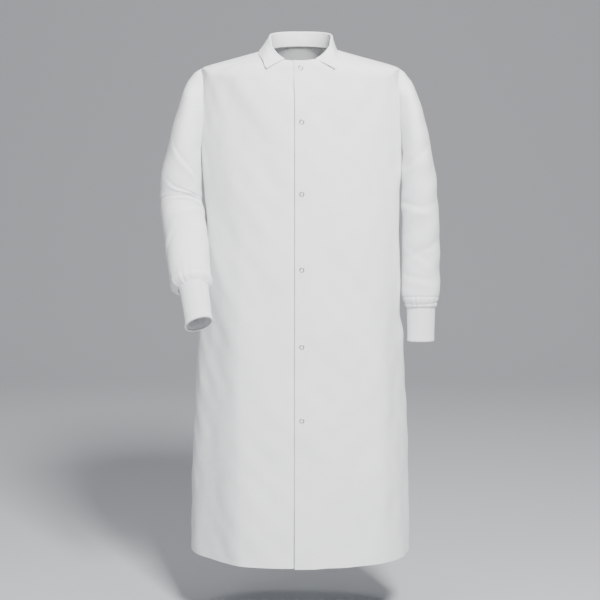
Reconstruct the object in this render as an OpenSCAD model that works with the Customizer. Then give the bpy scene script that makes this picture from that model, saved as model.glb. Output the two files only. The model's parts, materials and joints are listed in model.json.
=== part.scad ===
// Long knit-cuff lab coat with a snap front and a one-piece turned-down collar, hanging as if worn.
// +Z is up, the front faces -Y and the wearer's left is +X.
// The origin is the middle of the neck opening, and heights below it are negative.

/* [Length and widths] */
// Drop from the middle of the neck opening to the hem
coat_drop = 1213; // [1180:1:1250]
// Half width of the body at the chest and waist
chest_half_w = 238; // [230:1:240]
// Half width of the body at the hem
hem_half_w = 265; // [255:1:270]
// Depth of the front, from the mid plane, at the chest
chest_depth = 126; // [120:1:135]
// Depth of the front and the back, from the mid plane, at the hem
hem_depth = 178; // [170:1:190]
// Thickness that each layer of cloth is given
cloth_t = 1.2; // [1:0.1:1.4]
// Clear gap between layers that lie on each other
layer_gap = 0.3; // [0.25:0.05:0.4]

/* [Neck and collar] */
// Half width of the neck seam
neck_half_w = 78; // [74:1:82]
// Half depth of the neck seam
neck_half_d = 80; // [76:1:84]
// How far the neck stands forward of the mid plane
neck_forward = 18; // [14:1:22]
// Height of the collar stand at the centre back
stand_h = 38; // [34:1:42]
// Half distance between the collar's front ends
collar_end_x = 36; // [33:1:39]

/* [Front opening] */
// How far each front passes the centre
overlap = 16; // [14:1:18]
// Distance of each front's hinge line from the centre, at the neck
fold_x_top = 40; // [39:1:44]
// The same distance at the hem
fold_x_hem = 125; // [115:1:135]
// Half width of the strip that folds as a front opens
fold_strip = 20; // [18:1:22]
// Step that the upper front makes over the under front
front_lift = 5; // [4.8:0.1:5.6]
// Width of the facing behind each front edge
facing_w = 50; // [44:1:54]

/* [Snaps] */
// Distance of each snap below the neck opening's middle
snap_drops = [24, 157, 324, 501, 683, 858];
// Outer radius of the ring that shows on the front
snap_ring_r = 6; // [5.5:0.1:6.2]
// Radius of the stud's post
stud_r = 2.2; // [2:0.1:2.4]
// Radius of the socket's mouth
socket_r = 3.4; // [3.3:0.1:3.6]

/* [Sleeves] */
// Drop from the neck opening's middle to the elbows
elbow_drop = 345; // [335:1:355]
// Distance from the elbow to the end of the knit cuff
forearm_len = 345; // [335:1:355]
// Half length of the elbow section, which folds
elbow_half = 62; // [60:1:66]
// Forward tilt of the right forearm, as stored
right_bend = 37; // [34:1:39]
// Inward turn of the right forearm, as stored
right_turn = 15; // [13:1:17]
// Forward tilt of the left forearm, as stored
left_bend = 5; // [4:1:6]
// Length of each knit cuff
cuff_len = 96; // [90:1:100]
// Inner radius of each knit cuff
cuff_r = 29.5; // [28:0.5:30]
// Wall of each knit cuff
cuff_wall = 2.5; // [2:0.1:3]

/* [Hidden] */
SNAPS = [for (i = [1:len(snap_drops)]) i];

ring_power = 2 / 2.3;      // squareness of the body's outline seen from above
sleeve_power = 2 / 2.2;    // the same for the sleeves
cap_v = -40;               // height where the shoulders begin to close in to the neck
underarm_v = -232;         // lowest point of the armholes
panel_gap = 0.8;           // gap kept between panels that are sewn edge to edge
cloth = "white";
knit = "whitesmoke";
metal = "lightgray";

// ---- small helpers ----
function mix(a, b, t) = a + (b - a) * t;
function smooth(t) = let (c = max(0, min(1, t))) c * c * (3 - 2 * c);
function unit(v) = v / max(norm(v), 1e-9);
function spow(x, p) = sign(x) * pow(abs(x), p);

// ---- body surface: u is the angle from the centre front, v the height before the neck slopes ----
function cap(v) = max(0, (v - cap_v) / -cap_v);
function ring_w(v) = v > cap_v
    ? mix(chest_half_w - 2, neck_half_w, cap(v))
    : lookup(v, [[-coat_drop, hem_half_w], [-940, hem_half_w - 6], [-716, 249], [-345, chest_half_w + 1],
                 [-200, chest_half_w + 1], [cap_v, chest_half_w - 2]]);
function ring_front(v) = v > cap_v
    ? mix(104, neck_half_d, cap(v))
    : lookup(v, [[-coat_drop, hem_depth], [-200, chest_depth], [-110, 117], [cap_v, 104]]);
function ring_back(v) = v > cap_v
    ? mix(108, neck_half_d, cap(v))
    : lookup(v, [[-coat_drop, hem_depth], [-200, chest_depth + 6], [-110, 126], [cap_v, 108]]);
function neck_z(u) = 8 - (cos(u) > 0 ? 23 : 7) * cos(u);
function body_at(u, v) = [
    ring_w(v) * spow(sin(u), ring_power),
    -spow(cos(u), ring_power) * (cos(u) > 0 ? ring_front(v) : ring_back(v)) - neck_forward * cap(v),
    v > cap_v ? mix(cap_v, neck_z(u), cap(v)) : v
];
function body_normal(u, v) = unit(cross(
    body_at(u + 0.5, v) - body_at(u - 0.5, v),
    body_at(u, min(v + 1, 0)) - body_at(u, v - 1)
));
function body_off(u, v, d) = body_at(u, v) + d * body_normal(u, v);
function u_of_x(x, v) = asin(pow(min(1, x / ring_w(v)), 1 / ring_power));

// ---- cloth: a closed solid between two offsets of a grid of points ----
function grid_normal(g, i, j) = unit(cross(
    g[i][min(j + 1, len(g[0]) - 1)] - g[i][max(j - 1, 0)],
    g[min(i + 1, len(g) - 1)][j] - g[max(i - 1, 0)][j]
));
module sheet(g, low, high) {
    rows = len(g);
    cols = len(g[0]);
    layer = rows * cols;
    points = [for (d = [low, high], i = [0:rows - 1], j = [0:cols - 1]) g[i][j] + d * grid_normal(g, i, j)];
    rim = concat(
        [for (j = [0:cols - 1]) j],
        [for (i = [1:rows - 1]) i * cols + cols - 1],
        [for (j = [cols - 2:-1:0]) (rows - 1) * cols + j],
        [for (i = [rows - 2:-1:1]) i * cols]
    );
    faces = concat(
        [for (i = [0:rows - 2], j = [0:cols - 2], f = [0, 1]) let (a = i * cols + j)
            f == 0 ? [a, a + 1, a + cols + 1] : [a, a + cols + 1, a + cols]],
        [for (i = [0:rows - 2], j = [0:cols - 2], f = [0, 1]) let (a = layer + i * cols + j)
            f == 0 ? [a, a + cols + 1, a + 1] : [a, a + cols, a + cols + 1]],
        [for (k = [0:len(rim) - 1], f = [0, 1]) let (a = rim[k], b = rim[(k + 1) % len(rim)])
            f == 0 ? [b, a, a + layer] : [b, a + layer, b + layer]]
    );
    polyhedron(points, faces, convexity = 12);
}

// Heights of the rows of a body panel, closer together near the shoulders
arm_rows = [underarm_v, -222, -200, -160, -105, -62, cap_v];
panel_rows = concat(
    [for (k = [0:9]) mix(-coat_drop, underarm_v - 3, k / 9)],
    arm_rows,
    [for (k = [0:4]) mix(cap_v + 1, 0, k / 4)]
);

// Angle where a panel meets the armhole, or the side seam under it
arm_half_d = [[underarm_v, 8], [-222, 34], [-200, 50], [-160, 58], [-105, 53], [-62, 37], [cap_v, 12]];
function armhole_u(v, depth) = v < underarm_v || v > cap_v
    ? 90
    : acos(pow(min(1, lookup(v, arm_half_d) / depth), 1 / ring_power));
function seam_u(v) = asin(min(1, panel_gap / ring_w(v)));

module back_panel() {
    cols = 18;
    color(cloth) sheet([for (v = panel_rows) let (edge = 180 - armhole_u(v, ring_back(v)) + seam_u(v))
        [for (j = [0:cols]) body_at(mix(edge, 360 - edge, j / cols), v)]], 0, cloth_t);
}

// ---- the two fronts, written for the wearer's left ----
function fold_x(v) = mix(fold_x_hem, fold_x_top, (v + coat_drop) / (coat_drop - 15));
function fold_u(v, out) = u_of_x(fold_x(v) + out, v);

module side_front() {
    cols = 7;
    color(cloth) sheet([for (v = panel_rows)
        let (inner = fold_u(v, fold_strip + panel_gap), outer = armhole_u(v, ring_front(v)) - seam_u(v))
        [for (j = [0:cols]) body_at(mix(inner, outer, j / cols), v)]], 0, cloth_t);
}

module fold_strip_piece(lift) {
    cols = 4;
    color(cloth) sheet([for (v = panel_rows) [for (j = [0:cols])
        body_off(fold_u(v, mix(-fold_strip + panel_gap, fold_strip, j / cols)), v, lift * (1 - smooth(j / cols)))
    ]], 0, cloth_t);
}

module front_flap(lift) {
    cols = 5;
    color(cloth) sheet([for (v = panel_rows) let (outer = fold_u(v, -fold_strip), inner = -u_of_x(overlap, v))
        [for (j = [0:cols]) body_off(mix(inner, outer, j / cols), v, lift)]], 0, cloth_t);
}

module facing(lift) {
    cols = 3;
    color(cloth) sheet([for (v = panel_rows)
        let (inner = -u_of_x(overlap - 1, v), outer = u_of_x(min(facing_w - overlap, fold_x(v) - fold_strip - 1), v))
        [for (j = [0:cols]) body_off(mix(inner, outer, j / cols), v, lift)]],
        -cloth_t - layer_gap, -layer_gap);
}

// ---- collar: stand up from the neck seam, roll over and fall on the shoulders ----
collar_end = 180 - u_of_x(collar_end_x, 0);
roll_half = 4.5;           // half the width of the roll at the top of the stand
function collar_share(turn) = abs(turn) / collar_end;
function stand_at(turn) = mix(stand_h, 3, smooth((abs(turn) - 80) / (collar_end - 80)) * 0.6
    + 0.4 * max(0, (abs(turn) - 80) / (collar_end - 80)));
function side_of(turn, p) = [sign(turn) * p[0], p[1], p[2]];
tip_u = 19;                // angle of each collar point from the centre front
function fall_x(u) = mix(87, 99, smooth((u - tip_u) / (90 - tip_u)));
function fall_v(u) = u > 90
    ? -5.6
    : cap_v * (1 - (ring_w(cap_v) - fall_x(u) / spow(sin(u), ring_power)) / (ring_w(cap_v) - neck_half_w));
function fall_edge(turn) = let (u = 180 - (180 - tip_u) * pow(collar_share(turn), 1.08))
    body_off(u, fall_v(u), 9.8);
function collar_profile(turn) =
    let (
        foot = body_at(180 - abs(turn), 0),
        out = unit([foot[0], (foot[1] + neck_forward), 0]),
        top = foot + [0, 0, stand_at(turn)] - 1.5 * out,
        foot_in = foot + [0, 0, 3] - (roll_half + 4) * out,
        edge = fall_edge(turn),
        shoulder = top + 1.2 * roll_half * out
    )
    [
        foot_in,
        mix(foot_in, top - roll_half * out, 0.6),
        top - roll_half * out,
        top - 0.6 * roll_half * out + [0, 0, 0.75 * roll_half],
        top + [0, 0, roll_half],
        top + 0.6 * roll_half * out + [0, 0, 0.75 * roll_half],
        shoulder,
        mix(shoulder, edge, 0.5) + [0, 0, 1.5],
        edge
    ];
module collar_layer(depth, thick) {
    steps = 14;
    color(cloth) sheet([for (k = [-steps:steps]) let (turn = k == 0 ? 0.001 : k / steps * collar_end)
        [for (p = collar_profile(turn)) side_of(turn, p)]], -depth - thick, -depth);
}
module top_collar() collar_layer(0, 0.8);
module collar_interlining() collar_layer(1.1, 0.5);
module under_collar() collar_layer(1.9, 0.8);

// ---- sleeves: stations are [centre, half width, half depth, forward tilt] ----
arm_x = 290;               // distance of the elbow from the centre
function aim(bend, turn) = [-sin(bend) * sin(turn), -sin(bend) * cos(turn), -cos(bend)];
function forearm_at(s, bend, turn) = [arm_x, 0, -elbow_drop] + s * aim(bend, turn);
function sleeve_ring(c, a, d, dir, sides) =
    let (ex = unit([1, 0, 0] - dir * dir[0]), ey = cross(dir, ex))
    [for (k = [0:sides - 1]) let (t = 360 * k / sides)
        c + ex * a * spow(cos(t), sleeve_power) + ey * d * spow(sin(t), sleeve_power)];
module tube(stations, sides) {
    outer = [for (s = stations) sleeve_ring(s[0], s[1], s[2], s[3], sides)];
    inner = [for (s = stations) sleeve_ring(s[0], s[1] - cloth_t, s[2] - cloth_t, s[3], sides)];
    rows = len(stations);
    layer = rows * sides;
    points = [for (set = [outer, inner], ring = set, p = ring) p];
    faces = concat(
        [for (i = [0:rows - 2], k = [0:sides - 1], f = [0, 1])
            let (a = i * sides + k, b = i * sides + (k + 1) % sides)
            f == 0 ? [a, b, b + sides] : [a, b + sides, a + sides]],
        [for (i = [0:rows - 2], k = [0:sides - 1], f = [0, 1])
            let (a = layer + i * sides + k, b = layer + i * sides + (k + 1) % sides)
            f == 0 ? [a, b + sides, b] : [a, a + sides, b + sides]],
        [for (end = [0, rows - 1], k = [0:sides - 1], f = [0, 1])
            let (a = end * sides + k, b = end * sides + (k + 1) % sides)
            end == 0
                ? (f == 0 ? [b, a, a + layer] : [b, a + layer, b + layer])
                : (f == 0 ? [a, b, b + layer] : [a, b + layer, a + layer])]
    );
    polyhedron(points, faces, convexity = 8);
}

// Upper arm: height, inner edge's distance from the centre, outer edge's, half depth
upper_table = [
    [-36, 238, 246, 12], [-45, 238, 258, 25], [-62, 238, 271, 36], [-105, 239.5, 291, 54],
    [-185, 241, 313, 64], [-232, 241, 324, 66], [-285, 241, 331, 64], [-345, 242, 338, 60]
];
function upper_station(z) =
    let (
        low = lookup(z, [for (r = upper_table) [r[0], r[1]]]),
        high = lookup(z, [for (r = upper_table) [r[0], r[2]]]),
        deep = lookup(z, [for (r = upper_table) [r[0], r[3]]])
    )
    [[(low + high) / 2, 0, z], (high - low) / 2, deep, [0, 0, -1]];
function fore_station(s, bend, turn) =
    let (
        half = lookup(s, [[0, 47.5], [60, 46], [200, 44], [238, 41], [250, 34]]),
        deep = lookup(s, [[0, 58], [200, 50], [238, 43], [250, 35]]),
        // how far the sleeve is pushed out where it lies against the body
        out = lookup(s, [[0, 0], [60, 1 + turn * 0.4], [200, 3 + turn * 0.3], [238, 1 + turn * 0.45], [250, 0]])
    )
    [forearm_at(s, bend, turn) + [out, 0, 0], half, deep, aim(bend, turn)];

upper_low = -elbow_drop + elbow_half;
cuff_start = forearm_len - cuff_len;

// The head is open towards the body: each row starts and ends at the armhole's edges
module sleeve_head() {
    sides = 14;
    open = 50;
    color(cloth) sheet([for (z = [for (k = [len(arm_rows) - 1:-1:0]) arm_rows[k] + (k == 0 ? 1 : 0)])
        let (
            s = upper_station(z),
            front_edge = body_at(armhole_u(z, ring_front(z)) + seam_u(z), z),
            back_edge = body_at(180 - armhole_u(z, ring_back(z)) - seam_u(z), z),
            arc = [for (k = [0:sides]) let (t = 180 + mix(open, 360 - open, k / sides))
                s[0] + [s[1] * spow(cos(t), sleeve_power), s[2] * spow(sin(t), sleeve_power), 0]]
        )
        concat([front_edge, mix(front_edge, arc[0], 0.5)], arc, [mix(back_edge, arc[sides], 0.5), back_edge])],
        0, cloth_t);
}
module upper_sleeve() {
    color(cloth) tube([for (k = [0:3]) upper_station(mix(-231.5, upper_low, k / 3))], 28);
}
module elbow(bend, turn) {
    color(cloth) tube(concat(
        [upper_station(upper_low - panel_gap), upper_station(upper_low - 20)],
        [for (s = [elbow_half * 0.35, elbow_half * 0.7, elbow_half - panel_gap]) fore_station(s, bend, turn)]
    ), 28);
}
module lower_sleeve(bend, turn) {
    color(cloth) tube([for (s = [elbow_half, 120, 160, 200, 225, 238, cuff_start - 0.5]) fore_station(s, bend, turn)], 28);
}
module cuff(bend, turn) {
    color(knit) translate(forearm_at(cuff_start, bend, turn))
        rotate([0, 0, -turn]) rotate([-bend, 0, 0]) mirror([0, 0, 1])
        rotate_extrude($fn = 64) translate([cuff_r, 0]) square([cuff_wall, cuff_len]);
}

// ---- snaps: each stands square to the front at the centre ----
module on_front(i, out) {
    v = -snap_drops[i - 1];
    n = body_normal(0, v);
    translate(body_off(0, v, out)) rotate([90 + atan2(n[2], -n[1]) * -1, 0, 0]) children();
}
module disc_ring(r_in, r_out, h) {
    rotate_extrude($fn = 48) translate([r_in, 0]) square([r_out - r_in, h]);
}
socket_h = 1.45;
flange_h = 0.5;
module snap_ring(i) color(metal) on_front(i, front_lift + cloth_t + 0.1) disc_ring(3.6, snap_ring_r, 0.9);
module snap_socket(i) color(metal)
    on_front(i, front_lift - cloth_t - layer_gap - socket_h - 0.1) disc_ring(socket_r, 5.5, socket_h);
module snap_stud(i) color(metal) on_front(i, cloth_t + 0.1) {
    cylinder(r = 5, h = flange_h, $fn = 48);
    translate([0, 0, flange_h]) cylinder(r = stud_r, h = 1.1, $fn = 48);
}
module snap_back(i) color(metal) on_front(i, -cloth_t - layer_gap - 1) disc_ring(2.8, 5.2, 0.9);

module mirrored(side) if (side == "right_") mirror([1, 0, 0]) children(); else children();

back_panel();
top_collar();
collar_interlining();
under_collar();
for (side = ["left_", "right_"]) {
    lift = side == "left_" ? front_lift : 0;
    bend = side == "left_" ? left_bend : right_bend;
    turn = side == "left_" ? 0 : right_turn;
    mirrored(side) side_front();
    mirrored(side) fold_strip_piece(lift);
    mirrored(side) front_flap(lift);
    mirrored(side) facing(lift);
    mirrored(side) sleeve_head();
    mirrored(side) upper_sleeve();
    mirrored(side) elbow(bend, turn);
    mirrored(side) lower_sleeve(bend, turn);
    mirrored(side) cuff(bend, turn);
}
for (i = SNAPS) {
    snap_ring(i);
    snap_socket(i);
    snap_stud(i);
    snap_back(i);
}
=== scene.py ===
import json
import math

import bmesh
import bpy
import numpy as np
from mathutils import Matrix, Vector


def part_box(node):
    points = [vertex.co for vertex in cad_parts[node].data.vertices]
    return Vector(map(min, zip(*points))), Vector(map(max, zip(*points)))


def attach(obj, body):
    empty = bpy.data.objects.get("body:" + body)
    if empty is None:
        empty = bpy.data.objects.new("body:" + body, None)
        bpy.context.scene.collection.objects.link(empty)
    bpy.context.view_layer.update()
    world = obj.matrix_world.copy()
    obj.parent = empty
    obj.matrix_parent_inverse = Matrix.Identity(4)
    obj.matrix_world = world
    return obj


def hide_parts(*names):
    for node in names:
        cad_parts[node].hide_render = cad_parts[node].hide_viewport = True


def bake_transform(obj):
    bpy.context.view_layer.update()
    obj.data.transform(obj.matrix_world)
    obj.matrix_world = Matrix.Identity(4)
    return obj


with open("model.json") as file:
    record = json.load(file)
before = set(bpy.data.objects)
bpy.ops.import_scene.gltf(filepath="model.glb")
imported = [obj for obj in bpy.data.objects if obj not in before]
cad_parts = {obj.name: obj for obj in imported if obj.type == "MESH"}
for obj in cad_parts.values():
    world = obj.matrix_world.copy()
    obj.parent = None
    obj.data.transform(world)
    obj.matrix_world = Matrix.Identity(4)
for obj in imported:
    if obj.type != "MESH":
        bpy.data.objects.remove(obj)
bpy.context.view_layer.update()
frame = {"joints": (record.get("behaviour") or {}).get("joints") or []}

# ---------------------------------------------------------------- sizes, in metres
BACK_LOW, BACK_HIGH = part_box("back_panel")
HEM_Z = BACK_LOW[2]
HEM_W = BACK_HIGH[0] - 0.001
CAP_Z = -0.0365         # where the shoulders start to close in to the neck
UNDERARM_Z = -0.232
SHOULDER_W = 0.2355     # half width, and depths to the front and back, at CAP_Z
SHOULDER_FRONT, SHOULDER_BACK = 0.104, 0.108
NECK_W, NECK_D, NECK_FORWARD = 0.078, 0.080, 0.018
ELBOW = np.array([0.290, 0.0, -0.345])
FOREARM = 0.345
CUFF_LEN, CUFF_R, CUFF_WALL = 0.096, 0.0295, 0.0026
CUFF_TUCK = 0.012       # length of knit sewn inside the sleeve's end
CUFF_RIBS, CUFF_RIM = 112, 0.0012      # ribs round it, and the length that the mouth's edge rounds over
OVERLAP = 0.0158        # how far each front passes the centre line
FRONT_LIFT = 0.0034     # step of the upper front over the under front
CLOTH_T = 0.0007
COLLAR_T = 0.0016       # two layers of cloth with an interlining between them
BODY_POWER = 2 / 2.3    # exponents of the rounded sections: 1 is an ellipse, less is squarer
SLEEVE_POWER = 2 / 2.2
BRIDGE_POWER = 2 / 2.25
SNAP_Z = [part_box(f"snap_ring_{i}")[0][2] / 2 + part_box(f"snap_ring_{i}")[1][2] / 2 for i in range(1, 7)]
SIDES = ((1, "left"), (-1, "right"))    # the wearer's left is +X
FORWARD = [0, -1.0, 0]


# ---------------------------------------------------------------- small maths
def curve(x, pts):
    """A smooth curve through given points, which never overshoots them."""
    px, py = (np.array(c, float) for c in zip(*sorted(pts)))
    h, d = np.diff(px), np.diff(py) / np.diff(px)
    m = np.zeros(len(px))
    m[0], m[-1] = d[0], d[-1]
    same = d[:-1] * d[1:] > 0
    w1, w2 = 2 * h[1:] + h[:-1], h[1:] + 2 * h[:-1]
    safe = np.where(same, d[:-1], 1.0), np.where(same, d[1:], 1.0)
    m[1:-1] = np.where(same, (w1 + w2) / (w1 / safe[0] + w2 / safe[1]), 0)
    x = np.clip(np.asarray(x, float), px[0], px[-1])
    k = np.clip(np.searchsorted(px, x) - 1, 0, len(px) - 2)
    t = (x - px[k]) / h[k]
    a, b = 2 * t**3 - 3 * t**2 + 1, t**3 - 2 * t**2 + t
    return a * py[k] + b * h[k] * m[k] + (1 - a) * py[k + 1] + (t**3 - t**2) * h[k] * m[k + 1]


def smooth(t):
    t = np.clip(t, 0, 1)
    return t * t * (3 - 2 * t)


def mix(a, b, t):
    return a + (b - a) * t


def spow(x, p):
    return np.sign(x) * np.abs(x) ** p


def bump(x, centre, width):
    return np.exp(-(((x - centre) / width) ** 2))


def wobble(a, b, seed, count=6, low=1.0, high=5.0):
    """A sum of a few smooth waves over two coordinates, about -1 to 1."""
    rng = np.random.default_rng(seed)
    total = 0
    for _ in range(count):
        f, g = rng.uniform(low, high), rng.uniform(low, high) * rng.choice([-1, 1])
        total = total + np.sin(f * a + g * b + rng.uniform(0, 6.28)) / count
    return total * 1.6


def normals_of(P, closed=False):
    if closed:
        across = np.roll(P, -1, 1) - np.roll(P, 1, 1)
    else:
        across = np.gradient(P, axis=1)
    n = np.cross(across, np.gradient(P, axis=0))
    return n / np.maximum(np.linalg.norm(n, axis=2, keepdims=True), 1e-12)


# ---------------------------------------------------------------- meshes
def make_object(name, verts, faces, uvs=None, material=None):
    mesh = bpy.data.meshes.new(name)
    mesh.from_pydata([tuple(v) for v in verts], [], faces)
    if uvs is not None:
        layer = mesh.uv_layers.new(name="Cloth")
        loops = np.zeros(len(mesh.loops), int)
        mesh.loops.foreach_get("vertex_index", loops)
        layer.data.foreach_set("uv", np.asarray(uvs, np.float32)[loops].ravel())
    mesh.shade_smooth()
    mesh.update()
    obj = bpy.data.objects.new(name, mesh)
    bpy.context.scene.collection.objects.link(obj)
    if material:
        mesh.materials.append(material)
    return obj


def arc_uv(P):
    """Cloth coordinates in metres along the rows and columns of a grid."""
    du = np.linalg.norm(np.diff(P, axis=1), axis=2)
    dv = np.linalg.norm(np.diff(P, axis=0), axis=2)
    u = np.concatenate([np.zeros((P.shape[0], 1)), np.cumsum(du, 1)], 1)
    v = np.concatenate([np.zeros((1, P.shape[1])), np.cumsum(dv, 0)], 0)
    return np.stack([u - u.mean(1, keepdims=True), v], 2)


def cloth_shell(name, P, material, t=CLOTH_T, N=None):
    """A closed, thin solid of cloth: the grid is its outer face, and its edges are narrow flat strips."""
    N = normals_of(P) if N is None else N
    rows, cols = P.shape[:2]
    layer = rows * cols
    verts = np.concatenate([P.reshape(-1, 3), (P - N * t).reshape(-1, 3)])
    uvs = np.concatenate([arc_uv(P).reshape(-1, 2)] * 2)
    i, j = np.meshgrid(np.arange(rows - 1), np.arange(cols - 1), indexing="ij")
    a = (i * cols + j).ravel()
    front = np.stack([a, a + 1, a + cols + 1, a + cols], 1)
    back = np.stack([a, a + cols, a + cols + 1, a + 1], 1) + layer
    rim = np.array(
        list(range(cols))
        + [k * cols + cols - 1 for k in range(1, rows)]
        + [(rows - 1) * cols + k for k in range(cols - 2, -1, -1)]
        + [k * cols for k in range(rows - 2, -1, -1)]
    )
    sides = np.stack([rim[1:], rim[:-1], rim[:-1] + layer, rim[1:] + layer], 1)
    obj = make_object(name, verts, np.concatenate([front, back, sides]).tolist(), uvs, material)
    rim_pairs = {tuple(sorted(pair)) for pair in zip(rim[:-1].tolist(), rim[1:].tolist())}
    rim_pairs |= {(a + layer, b + layer) for a, b in rim_pairs}
    for edge in obj.data.edges:
        if tuple(sorted(edge.vertices)) in rim_pairs:
            edge.use_edge_sharp = True
    return obj


def declare(P):
    """Works out the cloth's flat size: the widest row, the longest column and the grid's own area, and keeps
    none of it.
    """
    wide = np.linalg.norm(np.diff(P, axis=1), axis=2).sum(1).max()
    long = np.linalg.norm(np.diff(P, axis=0), axis=2).sum(0).max()
    a, b = P[1:, 1:] - P[:-1, :-1], P[1:, :-1] - P[:-1, 1:]
    area = np.linalg.norm(np.cross(a, b), axis=2).sum() / 2
    wide, long = round(float(wide), 4), round(float(long), 4)
    area = min(float(area), wide * long)


# ---------------------------------------------------------------- materials
def new_material(name, colour, roughness):
    mat = bpy.data.materials.new(name)
    mat.use_nodes = True
    tree = mat.node_tree
    shader = tree.nodes["Principled BSDF"]
    shader.inputs["Base Color"].default_value = (*colour, 1)
    shader.inputs["Roughness"].default_value = roughness
    return mat, tree, shader


def add(tree, kind, **values):
    node = tree.nodes.new(kind)
    for key, value in values.items():
        if key in node.inputs:
            node.inputs[key].default_value = value
        else:
            setattr(node, key, value)
    return node


def math_node(tree, operation, a, b=None):
    node = add(tree, "ShaderNodeMath", operation=operation)
    for socket, value in zip(node.inputs, (a, b)):
        if value is None:
            continue
        if hasattr(value, "is_output"):
            tree.links.new(value, socket)
        else:
            socket.default_value = value
    return node.outputs[0]


def cloth_material(name, colour, yarn, bump_depth, rib=None):
    """Woven or knitted cloth. Its yarns are waves over the cloth's own coordinates, in metres."""
    mat, tree, shader = new_material(name, colour, 0.86)
    shader.inputs["Sheen Weight"].default_value = 0.18
    shader.inputs["Sheen Roughness"].default_value = 0.45
    shader.inputs["Specular IOR Level"].default_value = 0.28
    coords = add(tree, "ShaderNodeUVMap", uv_map="Cloth")
    split = add(tree, "ShaderNodeSeparateXYZ")
    tree.links.new(coords.outputs[0], split.inputs[0])
    turns = 2 * math.pi / yarn
    warp = math_node(tree, "SINE", math_node(tree, "MULTIPLY", split.outputs[0], turns))
    weft = math_node(tree, "SINE", math_node(tree, "MULTIPLY", split.outputs[1], turns))
    if rib:
        rows = math_node(tree, "ABSOLUTE", warp)
        height = math_node(tree, "ADD", rows, math_node(tree, "MULTIPLY", weft, 0.25))
    else:
        height = math_node(tree, "MULTIPLY", warp, weft)
    slub = add(tree, "ShaderNodeTexNoise", Scale=900.0, Detail=2.0)
    scaled = add(tree, "ShaderNodeMapping")
    scaled.inputs["Scale"].default_value = (1.0, 0.12, 1.0)
    tree.links.new(coords.outputs[0], scaled.inputs[0])
    tree.links.new(scaled.outputs[0], slub.inputs["Vector"])
    height = math_node(tree, "ADD", height, math_node(tree, "MULTIPLY", slub.outputs["Fac"], 0.8))
    place = add(tree, "ShaderNodeTexCoord")
    crumple = add(tree, "ShaderNodeTexNoise", Scale=26.0, Detail=3.0, Roughness=0.55)
    tree.links.new(place.outputs["Object"], crumple.inputs["Vector"])
    soft = add(tree, "ShaderNodeBump", Strength=0.34, Distance=0.004)
    tree.links.new(crumple.outputs["Fac"], soft.inputs["Height"])
    weave = add(tree, "ShaderNodeBump", Strength=0.35, Distance=bump_depth)
    tree.links.new(height, weave.inputs["Height"])
    tree.links.new(soft.outputs[0], weave.inputs["Normal"])
    tree.links.new(weave.outputs[0], shader.inputs["Normal"])
    tone = add(tree, "ShaderNodeTexNoise", Scale=7.0, Detail=4.0)
    tree.links.new(place.outputs["Object"], tone.inputs["Vector"])
    ramp = add(tree, "ShaderNodeValToRGB")
    ramp.color_ramp.elements[0].position = 0.3
    ramp.color_ramp.elements[1].position = 0.75
    ramp.color_ramp.elements[0].color = (*[c * 0.965 for c in colour], 1)
    ramp.color_ramp.elements[1].color = (*colour, 1)
    tree.links.new(tone.outputs["Fac"], ramp.inputs[0])
    shade = add(tree, "ShaderNodeMix", data_type="RGBA", blend_type="MULTIPLY")
    shade.inputs[0].default_value = 0.10
    tree.links.new(ramp.outputs[0], shade.inputs[6])
    tree.links.new(math_node(tree, "ADD", math_node(tree, "MULTIPLY", height, 0.5), 0.5), shade.inputs[7])
    tree.links.new(shade.outputs[2], shader.inputs["Base Color"])
    rough = math_node(tree, "ADD", math_node(tree, "MULTIPLY", slub.outputs["Fac"], 0.12), 0.80)
    tree.links.new(rough, shader.inputs["Roughness"])
    return mat


def thread_material():
    mat, tree, shader = new_material("thread", (0.80, 0.81, 0.82), 0.6)
    place = add(tree, "ShaderNodeTexCoord")
    twist = add(tree, "ShaderNodeTexWave", Scale=900.0, Distortion=1.0)
    tree.links.new(place.outputs["Object"], twist.inputs["Vector"])
    ply = add(tree, "ShaderNodeBump", Strength=0.4, Distance=0.0001)
    tree.links.new(twist.outputs["Fac"], ply.inputs["Height"])
    tree.links.new(ply.outputs[0], shader.inputs["Normal"])
    return mat


def metal_material():
    mat, tree, shader = new_material("snap_steel", (0.42, 0.43, 0.45), 0.3)
    shader.inputs["Metallic"].default_value = 1.0
    place = add(tree, "ShaderNodeTexCoord")
    wear = add(tree, "ShaderNodeTexNoise", Scale=700.0, Detail=4.0)
    tree.links.new(place.outputs["Object"], wear.inputs["Vector"])
    rough = math_node(tree, "ADD", math_node(tree, "MULTIPLY", wear.outputs["Fac"], 0.3), 0.2)
    tree.links.new(rough, shader.inputs["Roughness"])
    dents = add(tree, "ShaderNodeBump", Strength=0.15, Distance=0.0001)
    tree.links.new(wear.outputs["Fac"], dents.inputs["Height"])
    tree.links.new(dents.outputs[0], shader.inputs["Normal"])
    return mat


WHITE = (0.87, 0.885, 0.885)
CLOTH = cloth_material("poly_cotton", WHITE, 0.00042, 0.00012)
KNIT = cloth_material("rib_knit", (0.80, 0.81, 0.815), 0.0017, 0.0004, rib=True)
THREAD = thread_material()
STEEL = metal_material()


# ---------------------------------------------------------------- body surface
def cap(v):
    """0 up to the shoulders' edge, then rising to 1 at the neck seam."""
    return np.maximum(0, (v - CAP_Z) / -CAP_Z)


def ring_w(v):
    """Half width of the body at height v. ring_front and ring_back are its depths."""
    low = curve(v, [(HEM_Z, HEM_W), (-0.94, 0.259), (-0.716, 0.2475), (-0.56, 0.2455), (-0.345, 0.2420),
                    (-0.2, 0.239), (-0.10, 0.2385), (CAP_Z, SHOULDER_W)])
    return np.where(v > CAP_Z, mix(SHOULDER_W, NECK_W, cap(v)), low)


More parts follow.
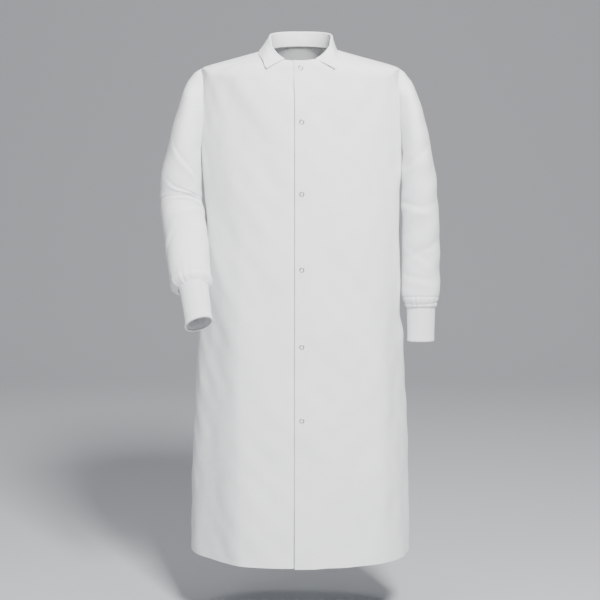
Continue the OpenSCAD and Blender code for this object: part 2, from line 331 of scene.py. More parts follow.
def ring_front(v):
    low = curve(v, [(HEM_Z, 0.178), (-0.7, 0.152), (-0.2, 0.126), (-0.11, 0.118), (CAP_Z, SHOULDER_FRONT)])
    return np.where(v > CAP_Z, mix(SHOULDER_FRONT, NECK_D, cap(v)), low)


def ring_back(v):
    low = curve(v, [(HEM_Z, 0.178), (-0.75, 0.156), (-0.35, 0.134), (-0.2, 0.133), (-0.11, 0.127),
                    (CAP_Z, SHOULDER_BACK)])
    return np.where(v > CAP_Z, mix(SHOULDER_BACK, NECK_D, cap(v)), low)


def neck_z(u):
    """Height of the neck seam, which is lowest at the front."""
    c = np.cos(np.radians(u))
    return 0.008 - np.where(c > 0, 0.023, 0.0105) * c


def body_raw(u, v):
    """A point of the body: u is the angle round it in degrees, 0 at the front and 90 at the wearer's left,
    and v is the height, with 0 for the neck seam."""
    s, c, k = np.sin(np.radians(u)), np.cos(np.radians(u)), cap(v)
    rise = 0.007 * k**0.5 * (1 - k) * np.abs(s) ** 2
    return np.stack([
        ring_w(v) * spow(s, BODY_POWER),
        -spow(c, BODY_POWER) * np.where(c > 0, ring_front(v), ring_back(v)) - NECK_FORWARD * k,
        np.where(v > CAP_Z, mix(CAP_Z, neck_z(u), k) + rise, v),
    ], -1)


CORNER_X = 0.142        # from here outward the wearer's right front corner falls back


def body_plain(u, v):
    """The body without folds. The walls turn over into the shoulders in a rounding, which is a mean over
    heights within reach. The body hangs a little to the wearer's left. Lower down it is wider on the
    wearer's right, and its front corner falls back there."""
    u, v = np.broadcast_arrays(np.asarray(u, float), np.asarray(v, float))
    s, c = np.sin(np.radians(u)), np.cos(np.radians(u))
    reach = 0.022 * bump(v, CAP_Z - 0.004, 0.030) * (1 - smooth((np.abs(s) - 0.86) / 0.13))
    total, share = 0.0, 0.0
    for k in np.linspace(-1, 1, 9):
        w = math.cos(k * 1.35)
        total = total + w * body_raw(u, np.minimum(v + k * reach, -1e-6 * (v < 0)))
        share += w
    P = total / share
    past = np.maximum(0, -CORNER_X - P[..., 0])
    back = 0.36 * past**2 / (past + 0.018) * smooth((-0.30 - v) / 0.26) * smooth((0.50 + c) / 0.85)
    aside = 0.0025 * smooth((-0.04 - v) / 0.08)
    wider = 0.036 * smooth((-0.45 - v) / 0.35) * np.minimum(P[..., 0], 0)
    return P + np.stack([aside + wider, back, 0 * v], -1)


def x_of_u(u, v):
    return ring_w(v) * spow(np.sin(np.radians(u)), BODY_POWER)


def u_of_x(x, v):
    return np.degrees(np.arcsin(np.clip(np.abs(x) / ring_w(v), 0, 1) ** (1 / BODY_POWER))) * np.sign(x)


def body_folds(u, v):
    """Soft folds, as an offset in metres: drags from the shoulders to the chest and long drapes below."""
    x = x_of_u(u, v)
    turn, c = np.radians(u), np.cos(np.radians(u))
    front = c > 0
    low = smooth((-0.15 - v) / 0.9)
    d = 0
    for side, power in ((-1, 0.62), (1, 0.40)):
        line = side * 0.155 - side * 0.55 * (-0.05 - v)
        fade = bump(v, -0.13, 0.085)
        d = d + power * 0.0034 * bump(x, line, 0.020) * fade * front
        d = d - power * 0.0026 * bump(x, line + side * 0.036, 0.024) * fade * front
    d = d + 0.0030 * low * np.sin(turn * 9 + 1.1 + 1.3 * v) * np.abs(np.sin(turn))
    d = d + 0.0022 * low * np.sin(turn * 5 - 0.6 + 2.2 * v)
    d = d - 0.0060 * low * bump(x, 0.222, 0.022) * front + 0.0016 * wobble(turn * 1.7, v * 7, seed=4)
    d = d + 0.0010 * wobble(turn * 4.5, v * 16, seed=9)
    # the sides are pressed in where the sleeves hang against them, and more at the wearer's right elbow
    d = d - 0.0098 * bump(c, -0.03, 0.28) * smooth((-0.27 - v) / 0.06) * smooth((v + 0.68) / 0.06)
    d = d - 0.0065 * bump(c, 0.20, 0.20) * bump(v, -0.40, 0.05) * (x < 0)
    return d


def body(u, v, lift=0.0):
    """The coat's outer surface, folds and all, lift metres further out."""
    u, v = np.broadcast_arrays(np.asarray(u, float), np.asarray(v, float))
    du, dv = 0.4, 0.002     # steps for the slopes, in degrees and metres
    across = body_plain(u + du, v) - body_plain(u - du, v)
    up = body_plain(u, np.minimum(v + dv, 0)) - body_plain(u, v - dv)
    n = np.cross(across, up)
    n /= np.maximum(np.linalg.norm(n, axis=-1, keepdims=True), 1e-12)
    calm = 1 - smooth((v + 0.045) / 0.03)
    return body_plain(u, v) + n * (body_folds(u, v) * calm + lift)[..., None]


# heights of the grids' rows, closer together at both ends of the armhole, and the armhole's half depth
ARM_ROWS = mix(UNDERARM_Z, CAP_Z, (1 - np.cos(np.pi * np.linspace(0, 1, 60))) / 2)
ROWS = np.concatenate([np.linspace(HEM_Z, -0.236, 124), ARM_ROWS, np.linspace(CAP_Z, 0, 23)[1:]])
ARM_DEPTH = [(UNDERARM_Z, 0.0006), (-0.2315, 0.004), (-0.228, 0.013), (-0.215, 0.023), (-0.185, 0.031),
             (-0.145, 0.034), (-0.105, 0.034), (-0.075, 0.030), (-0.055, 0.024), (-0.042, 0.013),
             (-0.0385, 0.004), (CAP_Z, 0.0010)]


def arm_u(v, depth):
    """Angle of the armhole's edge from the centre front, or 90 where there is none."""
    edge = np.degrees(np.arccos(np.clip(curve(v, ARM_DEPTH) / depth, 0, 1) ** (1 / BODY_POWER)))
    return np.where((v < UNDERARM_Z) | (v > CAP_Z), 90.0, edge)


def back_grid(cols=120):
    edge = 180 - arm_u(ROWS, ring_back(ROWS))
    u = edge[:, None] + (360 - 2 * edge[:, None]) * np.linspace(0, 1, cols)
    return body(u, ROWS[:, None])


def front_lift(side, x, v):
    """How far a front stands off the surface, x metres to its own side of the centre: the left front steps
    over the right one, and more at the hem, and the right one sinks in beside that edge."""
    if side < 0:
        return -0.0040 * bump(x, OVERLAP + 0.001, 0.0045) * smooth((-0.055 - v) / 0.02)
    return (FRONT_LIFT + 0.0045 * smooth((-v - 0.95) / 0.26)) * (1 - smooth((x - 0.022) / 0.045))


def front_grid(side, cols=74):
    """Columns run from the front edge to the side seam, or to the armhole's edge."""
    outer = arm_u(ROWS, ring_front(ROWS))
    inner = -u_of_x(OVERLAP, ROWS)
    t = np.linspace(0, 1, cols) ** 1.15
    u = mix(inner[:, None], outer[:, None], t)
    v = ROWS[:, None]
    return body(side * u, v, front_lift(side, x_of_u(u, v), v))


# ---------------------------------------------------------------- sleeves
# the upper arm's outer and inner edge and its half depth at heights down to the elbow, by side
OUTER = {
    1: [(CAP_Z, 0.2358), (-0.0385, 0.2385), (-0.045, 0.247), (-0.053, 0.253), (-0.067, 0.264),
        (-0.096, 0.277), (-0.134, 0.290), (-0.182, 0.302), (-0.229, 0.311), (-0.301, 0.324),
        (-0.345, 0.327)],
    -1: [(CAP_Z, 0.2358), (-0.0385, 0.2395), (-0.045, 0.250), (-0.053, 0.257), (-0.067, 0.268),
         (-0.096, 0.281), (-0.134, 0.292), (-0.182, 0.307), (-0.229, 0.319), (-0.301, 0.335),
         (-0.345, 0.338)],
}
INNER = {
    1: [(CAP_Z, SHOULDER_W), (-0.062, 0.2385), (-0.105, 0.2397), (-0.185, 0.2402), (-0.345, 0.2410)],
    -1: [(CAP_Z, SHOULDER_W), (-0.062, 0.2362), (-0.105, 0.2358), (-0.185, 0.2352), (-0.345, 0.2355)],
}
DEPTH = [(CAP_Z, 0.004), (-0.045, 0.022), (-0.062, 0.038), (-0.105, 0.054), (-0.185, 0.064), (-0.285, 0.065),
         (-0.345, 0.062)]
BEND = {1: (math.radians(5), 0.0), -1: (math.radians(37), math.radians(15))}    # forward, then inward
SLEEVE_END = {1: 0.263, -1: 0.2495}    # where the woven cloth meets the knit, below the elbow
# half widths of the forearm, and how far its middle is moved outward, at distances below the elbow
FOREARM_WIDTH = {
    1: [(0.0, 0.0429), (0.07, 0.0445), (0.15, 0.0455), (0.222, 0.0460), (0.238, 0.0440), (0.254, 0.0380),
        (0.263, 0.0352)],
    -1: [(0.0, 0.0490), (0.05, 0.0512), (0.12, 0.0522), (0.18, 0.0512), (0.218, 0.0485), (0.236, 0.0455),
         (0.245, 0.0405), (0.2495, 0.0352)],
}
FOREARM_PUSH = {
    1: [(0.07, -0.0022), (0.20, -0.0010), (0.24, -0.001), (0.26, 0.0)],
    -1: [(0.06, -0.0015), (0.12, -0.0005), (0.20, 0.0030), (0.238, 0.0015), (0.25, 0.0)],
}
# creases by whether the arm is bent: distance below the elbow, slope, width, depth, angle of their middle
CREASES = {
    True: [(0.034, -0.042, 0.0065, 0.0050, 0.90), (0.041, -0.013, 0.0060, 0.0034, 0.90),
           (0.056, 0.012, 0.0080, 0.0020, 1.0), (-0.030, -0.052, 0.0100, 0.0022, 1.3)],
    False: [(0.022, 0.010, 0.0090, 0.0016, 0.9), (0.048, -0.012, 0.0110, 0.0010, 1.6),
            (0.120, 0.030, 0.0120, 0.0010, 1.5), (0.165, -0.022, 0.0110, 0.0011, 1.8),
            (0.196, 0.010, 0.0090, 0.0012, 1.4), (-0.055, -0.03, 0.0120, 0.0014, 1.3)],
}
SPLIT_Z = -0.300        # where the upper sleeve piece meets the lower one


def aim(side):
    """Direction of the forearm."""
    bend, turn = BEND[side]
    forward = math.sin(bend)
    return np.array([-side * forward * math.sin(turn), -forward * math.cos(turn), -math.cos(bend)])


def elbow_point(side):
    return ELBOW * [side, 1, 1]


def sleeve_fold_field(side, s, phi, bent):
    """Creases of the sleeve, in metres. s runs down from the elbow, and phi round from the body side by
    the front."""
    def crease(s0, slope, width, deep, middle, reach, lag=0.012):
        line = s - s0 - slope * (phi - 0.4)
        ridge = deep * bump(line, 0, width)
        valley = deep * 0.9 * bump(line, -lag, width * 0.8)
        return (ridge - valley) * bump(phi, middle, reach)
    d = 0.0013 * wobble(phi, s * 22, seed=11 if side > 0 else 5)
    for s0, slope, width, deep, middle in CREASES[bent]:
        d = d + crease(s0, slope, width, deep, middle, *((0.85, 0.012) if bent else (1.1, 0.016)))
    if bent:
        d = d + crease(0.022, 0.004, 0.009, 0.0036, 5.3, 1.0)
        d = d - 0.0022 * bump(s - 0.128 - 0.050 * (phi - 2.3), 0, 0.011) * bump(phi, 2.3, 0.55)
    return d


def sleeve_path(side, s):
    """Centre, direction, half width and half depth of the sleeve at s metres below the elbow."""
    bend, turn = BEND[side]

    def heading(at):
        bent = bend * smooth((at + 0.045) / 0.09)
        forward = np.sin(bent)
        return np.stack([-side * forward * math.sin(turn), -forward * math.cos(turn), -np.cos(bent)], 1)
    fine = np.linspace(-0.32, 0.30, 1241)
    walk = np.cumsum(heading(fine), 0) * (fine[1] - fine[0])
    walk -= walk[np.searchsorted(fine, 0.0)]
    centre = elbow_point(side) + np.stack([np.interp(s, fine, walk[:, k]) for k in range(3)], 1)
    z = np.maximum(ELBOW[2] - s, ELBOW[2])
    low, high = curve(z, INNER[side]), curve(z, OUTER[side])
    middle = (low + high) / 2 - ELBOW[0]
    below, end = np.maximum(s, 0), SLEEVE_END[side]
    pushed = curve(below, [(0.0, middle[-1])] + FOREARM_PUSH[side])
    centre[:, 0] += side * np.where(s < 0, middle, pushed)
    centre[:, 1] -= 0.022 * smooth((s + 0.30) / 0.20) * (1 - smooth(s / 0.20))
    width = np.where(s < 0, (high - low) / 2, curve(below, FOREARM_WIDTH[side]))
    forearm_deep = curve(below, [(0.0, 0.062), (0.10, 0.056), (0.20, 0.051), (0.92 * end, 0.047),
                                 (0.98 * end, 0.0395), (end, 0.0352)])
    return centre, heading(s), width, np.where(s < 0, curve(z, DEPTH), forearm_deep)


SEAM_GAP = 0.004        # least angle between the underarm seam and the grid's edges, in radians


def sleeve_grid(side, cols=145):
    """The whole sleeve, open along its underarm seam. Rows run from the shoulder to the cuff and columns
    from the seam, or the armhole's edge, round by the front and back again."""
    head, end, fine_from = ARM_ROWS[::-1], SLEEVE_END[side], 0.205
    s = np.concatenate([ELBOW[2] - head, np.linspace(ELBOW[2] - UNDERARM_Z, fine_from, 160)[1:],
                        np.linspace(fine_from, end, 48)[1:]])
    centre, direction, width, deep = sleeve_path(side, s)
    z = np.maximum(ELBOW[2] - s, ELBOW[2])
    half = np.where(z > UNDERARM_Z, curve(z, ARM_DEPTH), 0.0)
    gap = np.maximum(np.arcsin(np.clip(0.9 * half / deep, 0.0, 0.9) ** (1 / SLEEVE_POWER)), SEAM_GAP)
    t = np.linspace(0, 1, cols)
    phi = gap[:, None] + (2 * np.pi - 2 * gap[:, None]) * t
    across = np.array([-side, 0, 0.0])
    ex = across - direction * (direction @ across)[:, None]
    ex /= np.linalg.norm(ex, axis=1, keepdims=True)
    ey = np.cross(direction, ex) * side
    ey *= np.sign(-ey[:1, 1:2])
    c, w = spow(np.cos(phi), SLEEVE_POWER), spow(np.sin(phi), SLEEVE_POWER)
    P = (centre[:, None] + ex[:, None] * (width[:, None] * c)[..., None]
         + ey[:, None] * (deep[:, None] * w)[..., None])
    # the head bridges the armhole's edges at the top, and further down its ends bend over to them
    n = len(head)
    front = body(side * arm_u(head, ring_front(head)), head)
    back = body(side * (180 - arm_u(head, ring_back(head))), head)
    reach = np.clip(centre[:n, 0] * side + width[:n], 0, 1)
    turn = np.radians(90 - 180 * t)[None]
    edge = np.where(turn[..., None] > 0, front[:, None], back[:, None])
    base = np.abs(edge[..., 0])
    bridge = np.stack([
        side * (base + (reach[:, None] - base) * spow(np.cos(turn), BRIDGE_POWER)),
        edge[..., 1] * spow(np.abs(np.sin(turn)), BRIDGE_POWER),
        edge[..., 2],
    ], 2)
    fill = smooth((head + 0.100) / 0.045)[:, None, None]
    near_front, near_back = np.exp(-((t / 0.10) ** 2)), np.exp(-(((1 - t) / 0.10) ** 2))
    valley = P[:n] + (front[:, None] - P[:n, :1]) * near_front[None, :, None]
    valley = valley + (back[:, None] - P[:n, -1:]) * near_back[None, :, None]
    shift = (valley[-1] - P[n - 1])[None] * (1 - smooth((s[n:] - s[n - 1]) / 0.050))[:, None, None]
    P[:n] = mix(valley, bridge, fill)
    P[n:] += shift
    S, F = np.broadcast_arrays(s[:, None], phi)
    d = sleeve_fold_field(side, S, F, side < 0) * smooth((S + 0.29) / 0.12)
    # gathers and small rolls where the sleeve is sewn to the cuff
    gather = smooth((S - end + 0.050) / 0.042)
    pleats = np.sin(F * 15 + 1.3 * np.sin(F * 4 + side)) * 0.5 + np.sin(F * 23 + 2.1 * side) * 0.3
    d = d * (1 - gather) + 0.0011 * gather * pleats * (1 - 0.5 * smooth((S - end + 0.008) / 0.008))
    if side > 0:
        d = d - 0.0016 * bump(S - 0.004 * np.sin(F + 0.4), end - 0.012, 0.0022)
        d = d + 0.0012 * bump(S, end - 0.006, 0.004)
        d = d - 0.0014 * bump(S + 0.003 * np.sin(F), end - 0.024, 0.0026)
    else:
        sag = bump(np.abs(F - 2 * np.pi * 0.58), 0, 1.3) * (1 - smooth((S - end + 0.007) / 0.006))
        d = d + 0.0024 * bump(S, end - 0.018, 0.011) + 0.0022 * sag * bump(S, end - 0.012, 0.010)
        d = d - 0.0013 * bump(S, end - 0.030 + 0.004 * np.sin(F), 0.003)
    # no fold at the armhole, and both edges of the underarm seam get the same offset
    d = d * (1 - (near_front + near_back) * (1 - smooth((S - ELBOW[2] + UNDERARM_Z) / 0.040)))
    out = normals_of(P)
    out[n:, 0] = out[n:, -1] = (out[n:, 0] + out[n:, -1]) / 2
    out *= np.sign((out * (P - P.mean(1, keepdims=True))).sum(2).mean())
    d[:, 0] = d[:, -1] = (d[:, 0] + d[:, -1]) / 2
    d[:n, 0] = d[:n, -1] = 0
    return P + out * d[..., None], s


def oriented(P, outward):
    """The grid with its normals pointing along outward, an array like P or one direction."""
    if (normals_of(P) * outward).sum(2).mean() < 0:
        return P[:, ::-1]
    return P


def centre_out(P):
    return P - P.mean(1, keepdims=True)


# ---------------------------------------------------------------- collar
COLLAR_ENDS = {1: float(u_of_x(0.0335, 0.0)), -1: float(u_of_x(0.0375, 0.0))}    # on the neck seam
TIP_U = 19.0            # angle of the collar's front corners
COLLAR_SPAN = 150.0     # the collar's own angle from the centre back to each end


COLLAR_FALL_ROWS = 22


def upward(h):
    """Offsets of h metres straight up."""
    return np.stack([0 * h, 0 * h, h], 1)


def collar_grid(cols=121):
    """Rows run from the neck seam up the stand, over the roll and down the fall, and columns run round
    the neck."""
    share, end = np.linspace(-1, 1, cols), COLLAR_SPAN
    side, a = np.sign(share + 1e-9), np.abs(share) * end
    reach = np.where(side > 0, (180 - COLLAR_ENDS[1]) / end, (180 - COLLAR_ENDS[-1]) / end)
    foot = body_plain(180 - a * reach, np.zeros(cols))
    plan = foot * [1, 1, 0] + [0, NECK_FORWARD, 0]
    out = plan / np.linalg.norm(plan, axis=1, keepdims=True)
    stand = curve(a, [(0, 0.0308), (60, 0.0318), (92, 0.0300), (116, 0.0200), (134, 0.0095), (end, 0.0018)])
    lean = curve(a, [(0, 0.000), (90, 0.0050), (125, 0.0035), (end, 0.000)])
    half = curve(a, [(0, 0.0032), (110, 0.0028), (end, 0.0020)])
    top = foot + upward(stand) - out * lean[:, None]
    low = foot - out * 0.0045 - [0, 0, 0.001]
    u = 180 - (180 - TIP_U) * (a / end) ** 1.08
    widest = np.where(side < 0, 0.0985, 0.0850)
    spread = np.clip((u - TIP_U) / (72 - TIP_U), 0, 1) ** 1.2
    fall_x = mix(np.where(side < 0, 0.0830, 0.0845), widest, spread)
    ring_x = fall_x / np.maximum(np.sin(np.radians(u)), 0.05) ** BODY_POWER
    v = CAP_Z * (1 - (SHOULDER_W - np.where(u > 90, widest, ring_x)) / (SHOULDER_W - NECK_W))
    edge = body(u, v, 0.0024 + 0.0034 * smooth((a - 104) / 40))
    rows = []
    for t in np.linspace(0, 1, 14)[:-1]:
        rows.append(mix(low, top - out * half[:, None], t) - out * (0.0014 * math.sin(math.pi * t)))
    for g in np.linspace(0, math.pi, 12):
        rows.append(top - out * (half * math.cos(g))[:, None] + upward(half * math.sin(g)))
    start = top + out * half[:, None]
    for t in np.linspace(0, 1, COLLAR_FALL_ROWS)[1:]:
        bow = 0.0022 * math.sin(math.pi * t) * smooth((a - 95) / 30) - 0.0008 * math.sin(math.pi * t)
        rows.append(mix(start, edge, t) + out * (bow * 0.8)[:, None] + upward(bow * 0.6))
    P = np.array(rows)
    P[:, :, 0] = np.abs(P[:, :, 0]) * side
    return P


# ---------------------------------------------------------------- stitching
# a stitch's rings: place along it as a share of its length, and share of its radius
STITCH_RINGS = [(-0.5, 0.35), (-0.3, 1.0), (0.3, 1.0), (0.5, 0.35)]


def stitches(name, path, normal, length=0.0021, gap=0.0009, r=0.00028):
    """A row of thread stitches: short capsules sunk a little way into the cloth along a path."""
    seg = np.linalg.norm(np.diff(path, axis=0), axis=1)
    walk = np.concatenate([[0], np.cumsum(seg)])
    centres = np.arange(length, walk[-1] - length, length + gap)
    at = np.stack([np.interp(centres, walk, path[:, k]) for k in range(3)], 1)
    nn = np.stack([np.interp(centres, walk, normal[:, k]) for k in range(3)], 1)
    nn /= np.linalg.norm(nn, axis=1, keepdims=True)
    ahead = np.stack([np.interp(centres + 0.0004, walk, path[:, k]) for k in range(3)], 1) - at
    ahead /= np.maximum(np.linalg.norm(ahead, axis=1, keepdims=True), 1e-12)
    aside = np.cross(nn, ahead)
    verts, faces, sides = [], [], 5
    for p, n, f, g in zip(at, nn, ahead, aside):
        base = len(verts)
        for x, k in STITCH_RINGS:
            drop = 0.45 * r if k > 0.9 else -0.5 * r
            for j in range(sides):
                q = 2 * math.pi * j / sides
                verts.append(p + f * x * length + (g * math.cos(q) + n * math.sin(q)) * r * k + n * drop)
        for a in range(len(STITCH_RINGS) - 1):
            for j in range(sides):
                b, c = base + a * sides + j, base + a * sides + (j + 1) % sides
                faces.append((b, c, c + sides, b + sides))
        faces.append(tuple(base + j for j in range(sides))[::-1])
        faces.append(tuple(base + (len(STITCH_RINGS) - 1) * sides + j for j in range(sides)))
    obj = make_object(name, verts, faces, None, THREAD)
    return obj


# ---------------------------------------------------------------- turned parts
def turned(name, profile, place, axis, material, sides=64, ripple=None, slant=(0, 0, 0)):
    """A closed ring turned from a profile of (radius, height) points about a unit axis through place.
    Its far end is slanted: it runs on along the axis on the side that slant points to."""
    axis = np.array(axis, float) / np.linalg.norm(axis)
    ex = np.cross(axis, [0, 0, 1.0]) if abs(axis[2]) < 0.9 else np.cross(axis, [0, 1.0, 0])
    ex /= np.linalg.norm(ex)
    ey = np.cross(axis, ex)
    ang = np.linspace(0, 2 * np.pi, sides, endpoint=False)
    prof = np.array(profile, float)
    r = prof[:, 0][:, None] + (0 * ang[None] if ripple is None else ripple(prof[:, 1][:, None], ang[None]))
    spoke = np.cos(ang)[:, None] * ex + np.sin(ang)[:, None] * ey
    far = smooth(prof[:, 1] / prof[:, 1].max())[:, None] ** 1.5
    height = prof[:, 1][:, None] + far * (spoke @ np.array(slant))[None]
    P = np.array(place) + r[..., None] * spoke[None] + height[..., None] * axis
    rows = len(prof)
    faces = []
    for i in range(rows):
        for j in range(sides):
            a, b = i * sides + j, i * sides + (j + 1) % sides
            c, d = ((i + 1) % rows) * sides + j, ((i + 1) % rows) * sides + (j + 1) % sides
            faces.append((a, c, d, b))
    uv = np.stack(np.broadcast_arrays(ang[None] * abs(prof[:, 0]).mean(), prof[:, 1][:, None]), 2)
    obj = make_object(name, P.reshape(-1, 3), faces, uv.reshape(-1, 2), material)
    recalc(obj)
    return obj


def recalc(obj):
    """Points every face of a closed mesh outward."""
    bm = bmesh.new()
    bm.from_mesh(obj.data)
    bmesh.ops.recalc_face_normals(bm, faces=bm.faces)
    bm.to_mesh(obj.data)
    bm.free()
    obj.data.shade_smooth()


def ring_profile(r_in, r_out, low, high, steps=5):
    """A ring's section with a rounded top, as (radius, height) points going round."""
    pts = [(r_in, low), (r_out, low)]
    mid, half = (r_in + r_out) / 2, (r_out - r_in) / 2
    for k in range(steps + 1):
        g = math.pi * k / steps
        pts.append((mid + half * math.cos(g), mix(low, high, 0.45) + (high - low) * 0.55 * math.sin(g)))
    return pts


# ---------------------------------------------------------------- the pieces
def torso():
    back = back_grid()
    obj = cloth_shell("coat_back", oriented(back, centre_out(back)), CLOTH)
    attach(obj, "shell")
    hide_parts("back_panel")
    declare(back)


FOLD_BEFORE, FOLD_AFTER = 0.022, 0.018     # how far the points that fold_plane gives lie before and after a front's hinge line


def fold_plane(side):
    """The points before and after a front's hinge line, where the cloth of a front would bend as it opens.
    Nothing here bends the cloth.
    """
    name = "left_front_open" if side > 0 else "right_front_open"
    joint = next(j for j in frame["joints"] if j["name"] == name)
    at, axis = np.array(joint["pos_m"]), np.array(joint["axis"])
    inward = np.cross(axis, [0, 1.0, 0]) * side
    inward /= np.linalg.norm(inward)
    if inward[0] * side > 0:
        inward = -inward
    return tuple(at - inward * FOLD_BEFORE), tuple(at + inward * FOLD_AFTER)


def fronts():
    for side, word in SIDES:
        P = front_grid(side)
        obj = cloth_shell(f"{word}_front_cloth", oriented(P, FORWARD), CLOTH)
        start, end = fold_plane(side)
        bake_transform(obj)
        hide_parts(f"{word}_side_front", f"{word}_fold_strip", f"{word}_front")
        declare(P)


def sleeves():
    for side, word in SIDES:
        P, s = sleeve_grid(side)
        P = oriented(P, centre_out(P))
        N = normals_of(P)
        split = int(np.searchsorted(s, ELBOW[2] - SPLIT_Z))
        top = cloth_shell(f"{word}_upper_sleeve_cloth", P[:split + 1], CLOTH, N=N[:split + 1])
        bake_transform(top)
        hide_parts(f"{word}_sleeve_head", f"{word}_upper_sleeve")
        declare(P[:split + 1])
        low = cloth_shell(f"{word}_lower_sleeve_cloth", P[split:], CLOTH, N=N[split:])
        bisector = aim(side) + [0, 0, -1.0]
        bisector /= np.linalg.norm(bisector)
        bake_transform(low)
        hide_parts(f"{word}_elbow", f"{word}_lower_sleeve")
        declare(P[split:])


def cuffs():
    for side, word in SIDES:
        along, length = aim(side), CUFF_LEN + CUFF_TUCK
        start = elbow_point(side) + along * (FOREARM - CUFF_LEN - CUFF_TUCK)
        lip, slant = (0.0020, -0.0048) if side < 0 else (0.0003, 0.0)

        def flare(t):
            return 0.0030 * (1 - t) ** 1.6 - 0.0004 * bump(t, 0.8, 0.15) + lip * smooth((t - 0.88) / 0.12)

        def ribs(h, a):
            fade = 1 - 0.7 * smooth((h - length + 0.004) / 0.004)
            return 0.00042 * np.abs(np.sin(a * CUFF_RIBS / 2)) * fade
        outer, rim_from, steps = CUFF_R + CUFF_WALL, length - CUFF_RIM, np.linspace(0, 1, 40)
        profile = [(outer + flare(t), t * rim_from) for t in steps]
        profile += [(outer - CUFF_WALL / 2, length), (CUFF_R, rim_from)]
        profile += [(CUFF_R + min(flare(t), 0.0024), t * rim_from) for t in steps[::-1][1:]]
        obj = turned(f"{word}_knit_cuff", profile, start, along, KNIT, sides=4 * CUFF_RIBS, ripple=ribs,
                     slant=(slant, 0, 0.0))
        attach(obj, f"{word}_forearm")
        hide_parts(f"{word}_cuff")


def collar():
    P = collar_grid()
    obj = cloth_shell("coat_collar", P, CLOTH, t=COLLAR_T)
    recalc(obj)
    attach(obj, "shell")
    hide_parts("top_collar", "collar_interlining", "under_collar")
    declare(P)


SOCKET_GAP, BACK_GAP = 0.0002, 0.0005      # from the cloth and its facing to the metal behind them
RING_PROFILE = ring_profile(0.0034, 0.0060, 0.0, 0.0012)
SOCKET_PROFILE = ring_profile(0.0034, 0.0054, 0.0, 0.0011)
BACK_PROFILE = ring_profile(0.0026, 0.0052, 0.0, 0.0010)
STUD_PROFILE = [(0.0002, 0), (0.0048, 0), (0.0048, 0.0004), (0.0022, 0.0006), (0.0024, 0.0012),
                (0.0018, 0.0016), (0.0002, 0.0017)]


def snaps():
    for i, z in enumerate(SNAP_Z, 1):
        P = body(0.0, np.array([z - 0.002, z, z + 0.002]), FRONT_LIFT)
        up = P[2] - P[0]
        n = np.cross(up, [1.0, 0, 0])
        n /= np.linalg.norm(n)
        n = n if n[1] < 0 else -n
        seat = P[1]
        ring = turned(f"snap_ring_{i}_face", RING_PROFILE, seat, n, STEEL)
        behind = seat - n * (CLOTH_T * 2 + SOCKET_GAP)
        socket = turned(f"snap_socket_{i}_cup", SOCKET_PROFILE, behind, -n, STEEL)
        for obj, node in ((ring, f"snap_ring_{i}"), (socket, f"snap_socket_{i}")):
            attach(obj, "left_flap")
            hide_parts(node)
        under = body(0.0, z, 0.0)
        stud = turned(f"snap_stud_{i}_post", STUD_PROFILE, under, n, STEEL)
        behind = under - n * (CLOTH_T * 2 + BACK_GAP)
        back = turned(f"snap_back_{i}_ring", BACK_PROFILE, behind, -n, STEEL)
        for obj, node in ((stud, f"snap_stud_{i}"), (back, f"snap_back_{i}")):
            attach(obj, "right_flap")
            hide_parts(node)


FACING_INSET, FACING_REACH = 0.0015, 0.042     # back from the front's edge, and past the centre line
FACING_GAP = {1: 0.0001, -1: 0.0003}           # between a front and its facing


def facings():
    v = ROWS[:, None]
    for side, word in SIDES:
        inner, outer = -u_of_x(OVERLAP - FACING_INSET, ROWS), u_of_x(FACING_REACH, ROWS)
        u = mix(inner[:, None], outer[:, None], np.linspace(0, 1, 44))
        P = body(side * u, v, front_lift(side, x_of_u(u, v), v) - CLOTH_T - FACING_GAP[side])
        obj = cloth_shell(f"{word}_facing_cloth", oriented(P, FORWARD), CLOTH)
        start, end = fold_plane(side)
        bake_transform(obj)
        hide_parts(f"{word}_facing")
        declare(P)


def front_point(side, x, v):
    """Points of a front's outer face, x metres to its own side of the centre, and the outward direction."""
    def at(x, v):
        return body(side * u_of_x(x, v), v, front_lift(side, x, v))
    x, v = np.broadcast_arrays(np.asarray(x, float), np.asarray(v, float))
    n = np.cross(at(x + 0.001, v) - at(x - 0.001, v), at(x, np.minimum(v + 0.001, 0)) - at(x, v - 0.001))
    n *= np.where(n[:, 1:2] > 0, -1, 1)
    return at(x, v), n / np.linalg.norm(n, axis=1, keepdims=True)


def around(u, v):
    """Points of the body's outer face and the outward direction."""
    u, v = np.broadcast_arrays(np.asarray(u, float), np.asarray(v, float))
    across = body(u + 0.5, v) - body(u - 0.5, v)
    n = np.cross(across, body(u, np.minimum(v + 0.001, 0)) - body(u, v - 0.001))
    n /= np.linalg.norm(n, axis=1, keepdims=True)
    p = body(u, v)
    return p, n * np.sign((n * (p * [1, 1, 0])).sum(1, keepdims=True))


HEM_TURN = 0.020        # depth of the hem that is turned up and stitched
HEM_GAP = 0.0002        # between the cloth and its turned-up hem
EDGE_ROW = 0.0045       # from a front's edge to its row of stitches


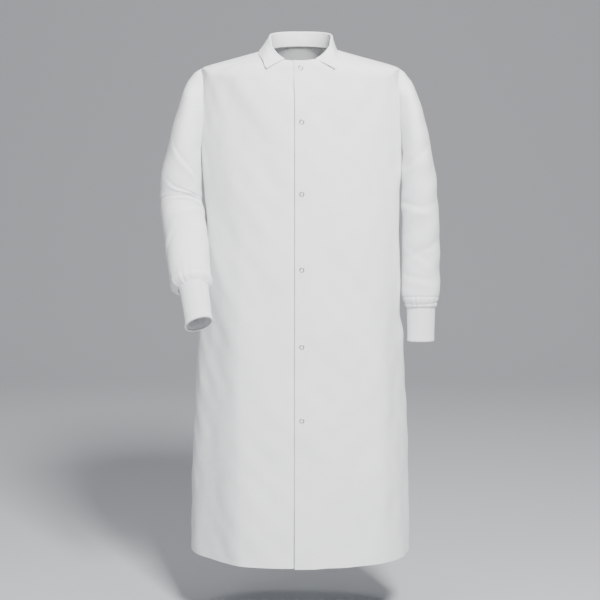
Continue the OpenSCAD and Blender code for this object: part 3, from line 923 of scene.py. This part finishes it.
def hems():
    rows = np.linspace(HEM_Z + 0.0006, HEM_Z + HEM_TURN + 0.004, 8)
    u = np.linspace(91, 269, 90)
    P = body(u[None], rows[:, None], -CLOTH_T - HEM_GAP)
    band = cloth_shell("back_hem_turn", oriented(P, centre_out(P)), CLOTH)
    declare(P)
    line, n = around(np.linspace(91, 269, 400), HEM_Z + HEM_TURN)
    seam = stitches("back_hem_stitches", line, n)
    for obj in (band, seam):
        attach(obj, "shell")
    for side, word in SIDES:
        start, end = fold_plane(side)
        u = mix(-u_of_x(OVERLAP - 0.001, HEM_Z), 89.0, np.linspace(0, 1, 60))
        x = x_of_u(u, rows[:, None])
        # near the front's edge the hem's turn lies behind the facing
        lift = front_lift(side, x, rows[:, None]) - CLOTH_T - HEM_GAP
        P = body(side * u[None], rows[:, None], lift - 0.0009 * smooth((0.050 - x) / 0.006))
        band = cloth_shell(f"{word}_hem_turn", oriented(P, FORWARD), CLOTH)
        declare(P)
        x = np.concatenate([np.linspace(-OVERLAP + 0.004, 0.20, 240), np.linspace(0.20, 0.2635, 90)[1:]])
        line, n = front_point(side, x, HEM_Z + HEM_TURN)
        seam = stitches(f"{word}_hem_stitches", line, n)
        v = np.linspace(HEM_Z + HEM_TURN, -0.004, 500)
        line, n = front_point(side, -OVERLAP + EDGE_ROW, v)
        edge = stitches(f"{word}_front_edge_stitches", line, n)
        for obj in (band, seam, edge):
            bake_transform(obj)


def collar_stitches():
    """A row of stitches down one end of the fall, along its outer edge and up the other end."""
    P = collar_grid()
    N = normals_of(P)
    fall = slice(-COLLAR_FALL_ROWS, -2)
    line = np.concatenate([P[fall, 3], mix(P[-1], P[-2], 2.2)[4:-4], P[fall, -4][::-1]])
    n = np.concatenate([N[fall, 3], N[-2, 4:-4], N[fall, -4][::-1]])
    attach(stitches("collar_edge_stitches", line, n), "shell")


# ---------------------------------------------------------------- the room
TILT_DOWN = 8.35        # the camera's, in degrees


def room():
    camera = bpy.data.objects.new("camera", bpy.data.cameras.new("camera"))
    camera.data.lens = 110
    camera.data.sensor_width = 36
    camera.location = (-0.0018, -4.4, 0.053)
    camera.rotation_euler = (math.radians(90 - TILT_DOWN), 0, 0)
    bpy.context.scene.collection.objects.link(camera)
    bpy.context.scene.camera = camera

    floor_mat, tree, shader = new_material("floor", (0.50, 0.51, 0.53), 0.7)
    grain = add(tree, "ShaderNodeTexNoise", Scale=60.0)
    ripple = add(tree, "ShaderNodeBump", Strength=0.05)
    tree.links.new(grain.outputs["Fac"], ripple.inputs["Height"])
    tree.links.new(ripple.outputs[0], shader.inputs["Normal"])
    half, near, depth, wall = 9.0, -8.0, 5.8, 6.0
    floor_z, steps, r = HEM_Z - 0.16, 24, 2.8
    outline = [(near, 0.0), (depth - r, 0.0)]
    for g in np.linspace(0, math.pi / 2, steps)[1:]:
        outline.append((depth - r + r * math.sin(g), r - r * math.cos(g)))
    outline += [(depth, wall)]
    verts = [(x, y, floor_z + z) for y, z in outline for x in (-half, half)]
    faces = [(2 * k, 2 * k + 1, 2 * k + 3, 2 * k + 2) for k in range(len(outline) - 1)]
    sweep = make_object("floor", verts, faces, None, floor_mat)

    world = bpy.data.worlds.new("studio")
    world.use_nodes = True
    world.node_tree.nodes["Background"].inputs[0].default_value = (0.80, 0.84, 0.90, 1)
    world.node_tree.nodes["Background"].inputs[1].default_value = 0.22
    bpy.context.scene.world = world
    for name, place, size, power, aim_at in (
        ("key", (0.85, -3.0, 2.2), 0.8, 420, (0, 0, -0.20)),
        ("left", (-1.9, -2.2, 1.5), 1.5, 20, (0, 0, -0.25)),
        ("low", (0.0, -3.4, -0.6), 2.2, 10, (0, 0, -0.6)),
        ("top", (0.1, 0.2, 2.4), 1.8, 50, (0, 0, -0.3)),
    ):
        light = bpy.data.lights.new(name, "AREA")
        light.shape, light.size, light.energy = "SQUARE", size, power
        lamp = bpy.data.objects.new(name, light)
        lamp.location = place
        lamp.rotation_euler = (Vector(aim_at) - Vector(place)).to_track_quat("-Z", "Y").to_euler()
        bpy.context.scene.collection.objects.link(lamp)


collar()
torso()
fronts()
facings()
sleeves()
cuffs()
snaps()
hems()
collar_stitches()
room()

bpy.context.view_layer.update()
